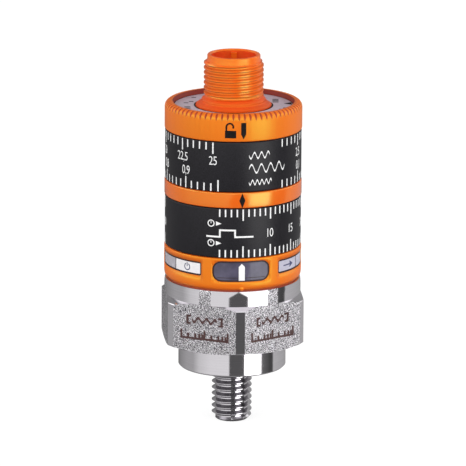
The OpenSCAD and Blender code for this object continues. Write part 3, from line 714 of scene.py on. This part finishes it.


# Window marks: a dark strip along the gaps round each window and between the windows of each pair,
# painted shade of those gaps; a dark line across the lower part of the centre window; and a thin
# sign on each front window.
WINDOW_FACE_R = 13.45
WINDOW_Z = 22.464
CENTRE_WINDOW_Z = 22.3
LEFT_AZIMUTH = -56.2
CENTRE_AZIMUTH = 7.65
RIGHT_AZIMUTH = 67.6
POWER_SIGN_AZIMUTH = -41.6
ARROW_SIGN_AZIMUTH = 53
SHADE_IN = 0.24
SHADE_OUT = 0.1


def gap_shade_shape(half_turn, half_height, corner):
    """Flat bmesh of a stroke round a window with rounded corners, in millimetres."""
    bm = bmesh.new()
    half_width = WINDOW_FACE_R * math.sin(math.radians(half_turn))
    loops = []
    for grown in (-SHADE_IN, SHADE_OUT):
        loop = bmesh.ops.create_circle(
            bm, segments=32, radius=(corner + grown) * MM,
            matrix=Matrix.Rotation(math.tau / 64, 4, "Z"),
        )["verts"]
        for v in loop:
            v.co.x += math.copysign(half_width - corner, v.co.x) * MM
            v.co.y += math.copysign(half_height - corner, v.co.y) * MM
            reach = min(v.co.x / (WINDOW_FACE_R * MM), 1)
            v.co.x = WINDOW_FACE_R * MM * math.asin(reach)
        loops += [e for e in bm.edges if e.verts[0] in loop]
    bmesh.ops.bridge_loops(bm, edges=loops)
    return bm


# Painted shade: a dark ink that stands in for the shade in the gaps round and between the windows.
gap_shade_ink = plain_finish("painted gap shade", srgb(32, 16, 18), srgb(44, 24, 26), 3000, (0.5, 0.6), 2e-6)
sign_ink = plain_finish("sign ink", srgb(58, 62, 98), srgb(70, 74, 110), 3000, (0.5, 0.6), 2e-6)
gap_shade_bm = bmesh.new()
for azimuth, half_turn, z, half_height, corner in (
    (LEFT_AZIMUTH, 29.2, WINDOW_Z, 1.3, 0.35), (RIGHT_AZIMUTH, 26, WINDOW_Z, 1.3, 0.35),
    (CENTRE_AZIMUTH, 24.45, CENTRE_WINDOW_Z, 2, 1.6),
):
    printed(gap_shade_bm, gap_shade_shape(half_turn, half_height, corner), azimuth, z, WINDOW_FACE_R)
for azimuth in (LEFT_AZIMUTH, RIGHT_AZIMUTH):
    printed(gap_shade_bm, box_shape(0.2, 2.6), azimuth, WINDOW_Z, WINDOW_FACE_R)
printed(gap_shade_bm, box_shape(9.6, 0.12), CENTRE_AZIMUTH, CENTRE_WINDOW_Z - 1.3, WINDOW_FACE_R)
window_gap_shade = add_mesh("window_gap_shade", gap_shade_bm, [gap_shade_ink])
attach(window_gap_shade, "housing")

sign_bm = bmesh.new()
power_arc = arc_shape(0.66, 0.2, 120, 420)
printed(sign_bm, power_arc, POWER_SIGN_AZIMUTH, WINDOW_Z, WINDOW_FACE_R)
power_line = box_shape(0.2, 0.8)
printed(sign_bm, power_line, POWER_SIGN_AZIMUTH, WINDOW_Z, WINDOW_FACE_R, shift_y=0.45)
arrow_line = box_shape(2.2, 0.24)
printed(sign_bm, arrow_line, ARROW_SIGN_AZIMUTH, WINDOW_Z, WINDOW_FACE_R)
arrow_head = polygon_shape([(0.9, 0.7), (2.0, 0), (0.9, -0.7)])
printed(sign_bm, arrow_head, ARROW_SIGN_AZIMUTH, WINDOW_Z, WINDOW_FACE_R)
window_signs = add_mesh("window_signs", sign_bm, [sign_ink])
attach(window_signs, "housing")


# Engraved marks on the two front flats of the hexagon: a wave between brackets and a scale
# line below it, darkened by a laser.
FLAT_MARK_R = 13.5


def flat_mark(bm, shape, azimuth, z, shift_x=0.0, shift_y=0.0):
    """Adds a flat shape to bm as a thin mark on a flat at an azimuth in degrees."""
    raised = bmesh.ops.extrude_face_region(shape, geom=shape.faces[:], use_keep_orig=True)["geom"]
    top = [v for v in raised if isinstance(v, bmesh.types.BMVert)]
    bmesh.ops.translate(shape, verts=top, vec=(0, 0, (INK_SUNK + INK_PROUD) * MM))
    turn = math.radians(azimuth)
    along = Vector((math.cos(turn), math.sin(turn), 0))
    for v in shape.verts:
        out = (FLAT_MARK_R - INK_SUNK) * MM + v.co.z
        height = z * MM + v.co.y + shift_y * MM
        v.co = azimuth_vector(turn) * out + along * (v.co.x + shift_x * MM)
        v.co.z = height
    bmesh.ops.recalc_face_normals(shape, faces=shape.faces)
    join_bmesh(bm, shape)


laser_brown = plain_finish(
    "laser mark", srgb(58, 34, 34), srgb(92, 62, 60), 5600, (0.5, 0.65), 4e-6,
)
FLAT_AZIMUTHS = (-23.76, 36.24)
BRACKET_Z = 11.95
RULER_Z = 8.2
RULER_HALF = 5
RULER_STROKE = 0.46
flat_bm = bmesh.new()
for azimuth in FLAT_AZIMUTHS:
    for side in (-1, 1):
        flat_mark(flat_bm, box_shape(0.5, 1.9), azimuth, BRACKET_Z, side * 3.7)
        for edge in (-1, 1):
            hook = box_shape(0.9, 0.42)
            flat_mark(flat_bm, hook, azimuth, BRACKET_Z, side * 3.4, edge * 0.75)
    flat_mark(flat_bm, wave_shape(5.4, 0.9, 0.62, 3), azimuth, BRACKET_Z)
    flat_mark(flat_bm, box_shape(10.3, RULER_STROKE), azimuth, RULER_Z)
    for decade in range(3):
        for digit in (1, 2, 4, 6, 8):
            place = RULER_HALF * (decade - 1 + math.log10(digit))
            if place <= RULER_HALF:
                tall = 1.7 if digit == 1 else 1.0
                line = box_shape(RULER_STROKE, tall)
                flat_mark(flat_bm, line, azimuth, RULER_Z, place, tall / 2)
flat_marks = add_mesh("flat_marks", flat_bm, [laser_brown])
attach(flat_marks, "housing")


# Lock ring: moulded orange, with grooves round its shoulder for grip. A line and an open
# padlock are printed in black on its wall.
SHOULDER_R = 12.5
SHOULDER_Z = 52.7
GROOVE_REACH = 1.06
LOCK_TOP = 53.79
LOCK_WALL_R = 13.59
RECESS_R = 12.1
RECESS_Z = 51.2
lock_piece = finish_node("lock_ring", orange, sharp=25)
# Painted shade: darker copies of the orange plastic stand in for the shade in the grip grooves and
# on the inner wall of the recess.
painted_groove_shade = plain_finish(
    "painted groove shade", (0.42, 0.05, 0.006, 1), (0.5, 0.065, 0.008, 1), 4200, (0.5, 0.6), 3e-6,
)
recess_shade = plain_finish(
    "recess shade", (0.24, 0.016, 0.006, 1), (0.3, 0.022, 0.008, 1), 4200, (0.5, 0.6), 3e-6,
)
lock_piece.data.materials.append(painted_groove_shade)
lock_piece.data.materials.append(recess_shade)
# Painted shade: groove faces on the shoulder and the recess wall take the darker copies.
for face in lock_piece.data.polygons:
    place = face.center / MM
    reach = math.hypot(place.x, place.y)
    from_round = math.hypot(max(reach - SHOULDER_R, 0), max(place.z - SHOULDER_Z, 0))
    on_shoulder = reach > SHOULDER_R - 0.2 and place.z > SHOULDER_Z - 0.4
    in_recess = reach < RECESS_R and place.z > RECESS_Z
    in_groove = from_round < GROOVE_REACH and place.z < LOCK_TOP and reach < LOCK_WALL_R
    if in_recess:
        face.material_index = 2
    elif on_shoulder and in_groove:
        face.material_index = 1
LOCK_LINE_AZIMUTH = 8.5
PADLOCK_AZIMUTH = -2.3
lock_bm = bmesh.new()
printed(
    lock_bm,
    polygon_shape([(-0.5, 1.3), (-0.5, -1.0), (0, -2.0), (0.5, -1.0), (0.5, 1.3)]),
    LOCK_LINE_AZIMUTH, 50.95, RING_R,
)
printed(lock_bm, box_shape(2.2, 1.5), PADLOCK_AZIMUTH, 49.95, RING_R)
bow = arc_shape(0.68, 0.34, -25, 180)
printed(lock_bm, bow, PADLOCK_AZIMUTH, 51.45, RING_R, shift_x=-0.15)
printed(lock_bm, box_shape(0.34, 0.9), PADLOCK_AZIMUTH, 51.05, RING_R, shift_x=-0.83)
lock_marks = add_mesh("lock_marks", lock_bm, [black_ink])
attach(lock_marks, "lock")


# Connector head: one orange moulding with an M12 thread, a flange and a key rib. A carrier
# with four gold pins sits in it, and a grey metal label lies round its foot.
CORE_TOP = 51.25
LABEL_Z = 52.55
LABEL_TOP = 52.85
THREAD_Z = 54.35
THREAD_TOP = 61.55
LIP_Z = 62.2
LIP_R = 5.25
LIP_SLOPE = 1.1
RUN_OUT_R = 5.5
RUN_OUT_SLOPE = 0.9
THREAD_CORE_R = 5.0
THREAD_OVERLAP = 0.3
PLUG_ROOT_R = 5.52
PLUG_CREST_R = 5.92
PLUG_PITCH = 1.0
PLUG_CREST = 0.27
PLUG_TOP = 63.2
RIM_ROUND = 0.3
RIM_R = 4.95
BORE_R = 4.45
FOOT_R = 7.5
FOOT_Z = 53.1
FOOT_BEND_R = 6.0
FOOT_BEND_Z = 53.9
FOOT_END_Z = 55.7
FOOT_RIPPLE = 0.13
FLANGE_R = 11.8
SPIGOT_R = 8.75
SPIGOT_Z = 46.65
INSERT_R = 5.15
head_profile = [(INSERT_R, SPIGOT_Z), (SPIGOT_R, SPIGOT_Z), (SPIGOT_R, CORE_TOP)]
head_profile += [(FLANGE_R, CORE_TOP), (FLANGE_R, LABEL_Z), (FOOT_R - 0.1, LABEL_Z)]
head_profile += [(FOOT_R - 0.1, LABEL_TOP), (FOOT_R, LABEL_TOP), (FOOT_R, FOOT_Z)]
for i in range(1, 49):
    t = i / 48
    height = FOOT_Z * (1 - t) ** 2 + FOOT_BEND_Z * 2 * t * (1 - t) + FOOT_END_Z * t ** 2
    reach = FOOT_R * (1 - t) ** 2 + FOOT_BEND_R * 2 * t * (1 - t) + PLUG_ROOT_R * t ** 2
    ripple = FOOT_RIPPLE * math.sin(math.tau * height) * min(1, 8 * t - 1, 4 - 4 * t)
    head_profile.append((reach + ripple, height))
head_profile += [(PLUG_ROOT_R, THREAD_TOP), (LIP_R, LIP_Z)]
for i in range(4):
    turn = math.radians(90 * i / 3)
    head_profile.append((
        RIM_R + RIM_ROUND * math.cos(turn), PLUG_TOP - RIM_ROUND + RIM_ROUND * math.sin(turn),
    ))
head_profile += [(BORE_R + RIM_ROUND, PLUG_TOP), (BORE_R, PLUG_TOP - RIM_ROUND)]
head_profile += [(BORE_R, LABEL_Z), (INSERT_R, LABEL_Z)]
head_bm = turned(head_profile, steps=192)


def plug_limit(z):
    """Radius that the run-out below and the chamfer above leave the thread."""
    return min(RUN_OUT_R + (z - THREAD_Z) * RUN_OUT_SLOPE, LIP_R + (LIP_Z - z) * LIP_SLOPE)


join_bmesh(
    head_bm,
    screw_thread(
        PLUG_ROOT_R, PLUG_CREST_R, PLUG_PITCH, PLUG_CREST, PLUG_CREST, THREAD_Z,
        THREAD_TOP + THREAD_OVERLAP, THREAD_CORE_R, plug_limit,
    ),
)
KEY_SIZE = Vector((1.1, 0.8, 7.95))
KEY_PLACE = Vector((0, 4.3, 58.575))
key = bmesh.ops.create_cube(head_bm, size=1)["verts"]
bmesh.ops.scale(head_bm, verts=key, vec=KEY_SIZE * MM)
bmesh.ops.translate(head_bm, verts=key, vec=KEY_PLACE * MM)
bmesh.ops.recalc_face_normals(head_bm, faces=head_bm.faces)
# Painted shade: the bore wall, the thread flanks and the foot of the moulding take darker, redder
# copies of its plastic, which stand in for the shade there; the lower flanks are darker than the
# upper ones.
plug_orange = orange_finish("plug plastic", 0.27, 0.36, 0.3, 0.84, 0.095)
foot_shade_orange = orange_finish("foot plastic", 0.4, 0.5, 0, 0.74, 0.06)
set_specular(foot_shade_orange, 0.5)
bore_shade_orange = orange_finish("bore plastic", 0.4, 0.5, 0, 0.8, 0.024)
upper_flank_shade = orange_finish("upper flank plastic", 0.4, 0.5, 0, 0.7, 0.075)
lower_flank_shade = orange_finish("lower flank plastic", 0.4, 0.5, 0, 0.44, 0.035)
head = add_mesh(
    "connector_head_piece", head_bm,
    [plug_orange, bore_shade_orange, upper_flank_shade, lower_flank_shade, foot_shade_orange], sharp=30,
)
RUN_OUT_TOP = THREAD_Z + 0.5
# Painted shade: faces picked by height, slope and radius take the darker copies.
for face in head.data.polygons:
    height = face.center.z / MM
    reach = math.hypot(face.center.x, face.center.y) / MM
    if RUN_OUT_TOP < height < THREAD_TOP and abs(face.normal.z) > 0.45:
        face.material_index = 2 if face.normal.z > 0 else 3
    elif height < RUN_OUT_TOP:
        face.material_index = 4
    if BORE_R - 0.03 < reach < BORE_R + 0.05:
        face.material_index = 1
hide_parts("connector_head")
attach(head, "housing")

carrier_black = plain_finish(
    "carrier plastic", srgb(40, 38, 38), srgb(52, 49, 49), 2200, (0.4, 0.55), 4e-6,
)
contact_gold = plain_finish(
    "contact gold", srgb(214, 168, 84), srgb(232, 190, 108), 1400, (0.14, 0.24), 1e-6,
    metallic=1.0,
)
label_grey = plain_finish(
    "label metal", srgb(200, 190, 204), srgb(220, 208, 222), 2600, (0.3, 0.42), 2e-6,
    metallic=0.2,
)
finish_node("contact_carrier", carrier_black)
for node in ("contact_pin_1", "contact_pin_2", "contact_pin_3", "contact_pin_4"):
    finish_node(node, contact_gold)
finish_node("label_disc", label_grey)
label_bm = bmesh.new()
for radius, width in ((FOOT_R + 0.2, 0.3), (FLANGE_R, 0.16)):
    join_bmesh(label_bm, arc_shape(radius, width, 0, 360, steps=96))
for x, y in (  # short dots where the label has words
    (-9.4, 1.6), (-8.4, 2.8), (-7.9, 6.5), (7.6, -6.2), (8.6, -5.4), (9.4, -3.6), (10.2, -2.4),
):
    dot = box_shape(0.9, 0.5)
    bmesh.ops.translate(dot, verts=dot.verts, vec=(x * MM, y * MM, 0))
    join_bmesh(label_bm, dot)
for x, y in ((8.3, 4.1), (-9.1, -3.3)):  # two signs, each a stack of bars
    for row in (-1.2, 0, 1.2):
        bar = box_shape(1.2, 0.6)
        bmesh.ops.translate(bar, verts=bar.verts, vec=(x * MM, (y + row) * MM, 0))
        join_bmesh(label_bm, bar)
join_bmesh(label_bm, polygon_shape([(9.9, 1.6), (11.55, 0.5), (11.4, 2.7)]))
label_faces = bmesh.ops.extrude_face_region(
    label_bm, geom=label_bm.faces[:], use_keep_orig=True,
)["geom"]
raised = [v for v in label_faces if isinstance(v, bmesh.types.BMVert)]
bmesh.ops.translate(label_bm, verts=raised, vec=(0, 0, (INK_SUNK + INK_PROUD) * MM))
bmesh.ops.translate(label_bm, verts=label_bm.verts, vec=(0, 0, (LABEL_TOP - INK_SUNK) * MM))
bmesh.ops.recalc_face_normals(label_bm, faces=label_bm.faces)
label_marks = add_mesh("label_marks", label_bm, [black_ink])
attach(label_marks, "housing")


# Studio: camera at the photograph's angle, soft light, a world that the steel mirrors in
# grey bands, and a pale floor that keeps a faint shadow.
PHOTO_WIDTH = 466
TARGET_Z = 26.685
CAMERA_AWAY = 1054
ELEVATION = math.radians(13.97)
ROLL = math.radians(0.372)
LIGHT_AIM_Z = 0.027
camera = bpy.data.cameras.new("camera")
camera.lens = 410.06
camera.sensor_width = 36
camera.shift_x = 0.27 / PHOTO_WIDTH
camera.shift_y = 0.53 / PHOTO_WIDTH
camera.clip_end = 10
viewer = bpy.data.objects.new("camera", camera)
bpy.context.scene.collection.objects.link(viewer)
viewer.location = Vector((
    0, -CAMERA_AWAY * math.cos(ELEVATION), TARGET_Z + CAMERA_AWAY * math.sin(ELEVATION),
)) * MM
tilt = Matrix.Rotation(math.radians(90) - ELEVATION, 3, "X")
viewer.rotation_euler = (tilt @ Matrix.Rotation(ROLL, 3, "Z")).to_euler()
bpy.context.scene.camera = viewer
bpy.context.scene.view_settings.view_transform = "Standard"


def grey(value):
    """Opaque linear grey."""
    return (value, value, value, 1)


def soft_light(name, azimuth, elevation, away, size, power):
    """Square area light that faces the object."""
    light = bpy.data.lights.new(name, "AREA")
    light.size = size
    light.energy = power
    obj = bpy.data.objects.new(name, light)
    bpy.context.scene.collection.objects.link(obj)
    up = math.radians(elevation)
    obj.location = azimuth_vector(math.radians(azimuth)) * away * math.cos(up)
    obj.location.z = away * math.sin(up) + LIGHT_AIM_Z
    aim = Vector((0, 0, LIGHT_AIM_Z)) - obj.location
    obj.rotation_euler = aim.to_track_quat("-Z", "Y").to_euler()
    return obj


soft_light("top_light", azimuth=20, elevation=60, away=0.7, size=0.5, power=0.5)

world = bpy.data.worlds.new("studio")
world.use_nodes = True
bpy.context.scene.world = world
sky = world.node_tree
backdrop = sky.nodes["Background"]
direction = sky.nodes.new("ShaderNodeTexCoord")
split = sky.nodes.new("ShaderNodeSeparateXYZ")
sky.links.new(direction.outputs["Generated"], split.inputs["Vector"])


def sky_math(operation, first, second=None):
    """Math node of the sky whose inputs are sockets or numbers."""
    node = sky.nodes.new("ShaderNodeMath")
    node.operation = operation
    for place, value in enumerate((first, second)):
        if isinstance(value, (int, float)):
            node.inputs[place].default_value = value
        elif value is not None:
            sky.links.new(value, node.inputs[place])
    return node.outputs["Value"]


def sky_range(value, low, high, low_out=0, high_out=1):
    """Value stretched from one range to another and clamped to it."""
    node = sky.nodes.new("ShaderNodeMapRange")
    node.inputs["From Min"].default_value = low
    node.inputs["From Max"].default_value = high
    node.inputs["To Min"].default_value = low_out
    node.inputs["To Max"].default_value = high_out
    sky.links.new(value, node.inputs["Value"])
    return node.outputs["Result"]


def bearing_share(degrees):
    """Place on the ramp of a bearing in degrees."""
    return (degrees + 180) / 360


def sky_mix(factor, first, second):
    """Mix of two colours of the sky, each a socket or a linear grey."""
    node = sky.nodes.new("ShaderNodeMix")
    node.data_type = "RGBA"
    sky.links.new(factor, node.inputs["Factor"])
    for place, value in (("A", first), ("B", second)):
        if isinstance(value, (int, float)):
            node.inputs[place].default_value = grey(value)
        else:
            sky.links.new(value, node.inputs[place])
    return node.outputs["Result"]


height = split.outputs["Z"]
bearing = sky_math("ARCTAN2", split.outputs["X"], sky_math("MULTIPLY", split.outputs["Y"], -1))
share = sky_range(bearing, -math.pi, math.pi)
bands = ramp(sky, share, [
    (bearing_share(-180), grey(0.2)), (bearing_share(-165), grey(0.18)),
    (bearing_share(-144), grey(0.27)), (bearing_share(-113), grey(0.38)),
    (bearing_share(-92), grey(0.4)), (bearing_share(-75), grey(0.64)),
    (bearing_share(-46), grey(0.78)), (bearing_share(10), grey(0.8)),
    (bearing_share(12), grey(1.4)), (bearing_share(65), grey(1.4)),
    (bearing_share(68), grey(0.15)), (bearing_share(90), grey(0.065)),
    (bearing_share(98), grey(0.07)), (bearing_share(101), grey(0.5)),
    (bearing_share(138), grey(0.42)), (bearing_share(180), grey(0.3)),
]).outputs["Color"]
strip = ramp(sky, share, [
    (bearing_share(26), grey(0)), (bearing_share(30), grey(1)),
    (bearing_share(62), grey(1)), (bearing_share(66), grey(0)),
]).outputs["Color"]
low_band = ramp(sky, sky_range(height, -0.6, 0.2), [
    (0.12, grey(0)), (0.3, grey(1)), (0.7, grey(1)), (0.9, grey(0)),
]).outputs["Color"]
glare = sky_math("MULTIPLY", sky_math("MULTIPLY", strip, low_band), 2.3)
rays = sky.nodes.new("ShaderNodeLightPath")
side_fill = ramp(sky, share, [
    (bearing_share(-180), grey(0.8)), (bearing_share(-92), grey(0.7)),
    (bearing_share(-50), grey(0)), (bearing_share(64), grey(0)),
    (bearing_share(72), grey(0.8)), (bearing_share(180), grey(0.8)),
]).outputs["Color"]
side_fill = sky_math("MULTIPLY", side_fill, rays.outputs["Is Diffuse Ray"])
glare = sky_math("ADD", glare, side_fill)
away = sky_math("ABSOLUTE", sky_math("SUBTRACT", bearing, math.radians(11)))
wedge = sky_range(height, -0.24, 0.21, math.radians(16.6), 0)
inside = sky_range(sky_math("SUBTRACT", wedge, away), -0.02, 0.02)
walls = sky_mix(inside, bands, 0.1)
glare_node = sky.nodes.new("ShaderNodeMix")
glare_node.data_type = "RGBA"
glare_node.blend_type = "ADD"
glare_node.inputs["Factor"].default_value = 1
sky.links.new(walls, glare_node.inputs["A"])
sky.links.new(glare, glare_node.inputs["B"])
ceiling = ramp(sky, share, [
    (bearing_share(-180), grey(0.25)), (bearing_share(-135), grey(0.25)),
    (bearing_share(-100), grey(3.0)), (bearing_share(-50), grey(3.0)),
    (bearing_share(0), grey(2.6)), (bearing_share(60), grey(2.2)),
    (bearing_share(120), grey(2.0)), (bearing_share(145), grey(0.35)),
    (bearing_share(180), grey(0.25)),
]).outputs["Color"]
light_all = sky_mix(sky_range(height, 0.2, 0.34), glare_node.outputs["Result"], ceiling)
light_all = sky_mix(sky_range(height, -0.35, -0.5), light_all, 0.25)
light_all = sky_mix(sky_range(height, 0.55, 0.7), light_all, 0.35)
seen = sky.nodes.new("ShaderNodeMath")
seen.operation = "MAXIMUM"
sky.links.new(rays.outputs["Is Camera Ray"], seen.inputs[0])
sky.links.new(rays.outputs["Is Transmission Ray"], seen.inputs[1])
sky.links.new(sky_mix(seen.outputs["Value"], light_all, 1.0), backdrop.inputs["Color"])

GLOW = 1.2
GLOW_SHARE = 0.7
FLOOR_HALF = 1.5
floor_bm = bmesh.new()
bmesh.ops.create_grid(floor_bm, x_segments=1, y_segments=1, size=FLOOR_HALF)
bmesh.ops.translate(floor_bm, verts=floor_bm.verts, vec=(0, 0, STUD_END_Z * MM))
floor_white, floor_tree, floor_shader = new_material("floor")
floor_shader.inputs["Base Color"].default_value = grey(0.8)
floor_shader.inputs["Roughness"].default_value = 0.9
paper_glow = add_node(floor_tree, "ShaderNodeEmission", Color=grey(1), Strength=GLOW)
floor_rays = floor_tree.nodes.new("ShaderNodeLightPath")
glow_share = floor_tree.nodes.new("ShaderNodeMath")
glow_share.operation = "MULTIPLY"
glow_share.inputs[1].default_value = GLOW_SHARE
floor_tree.links.new(floor_rays.outputs["Is Camera Ray"], glow_share.inputs[0])
floor_mix = floor_tree.nodes.new("ShaderNodeMixShader")
floor_tree.links.new(glow_share.outputs["Value"], floor_mix.inputs["Fac"])
floor_tree.links.new(floor_shader.outputs["BSDF"], floor_mix.inputs[1])
floor_tree.links.new(paper_glow.outputs["Emission"], floor_mix.inputs[2])
floor_tree.links.new(
    floor_mix.outputs["Shader"], floor_tree.nodes["Material Output"].inputs["Surface"]
)
floor = add_mesh("floor", floor_bm, [floor_white])
floor.visible_glossy = False
floor.visible_diffuse = False
floor.visible_shadow = False
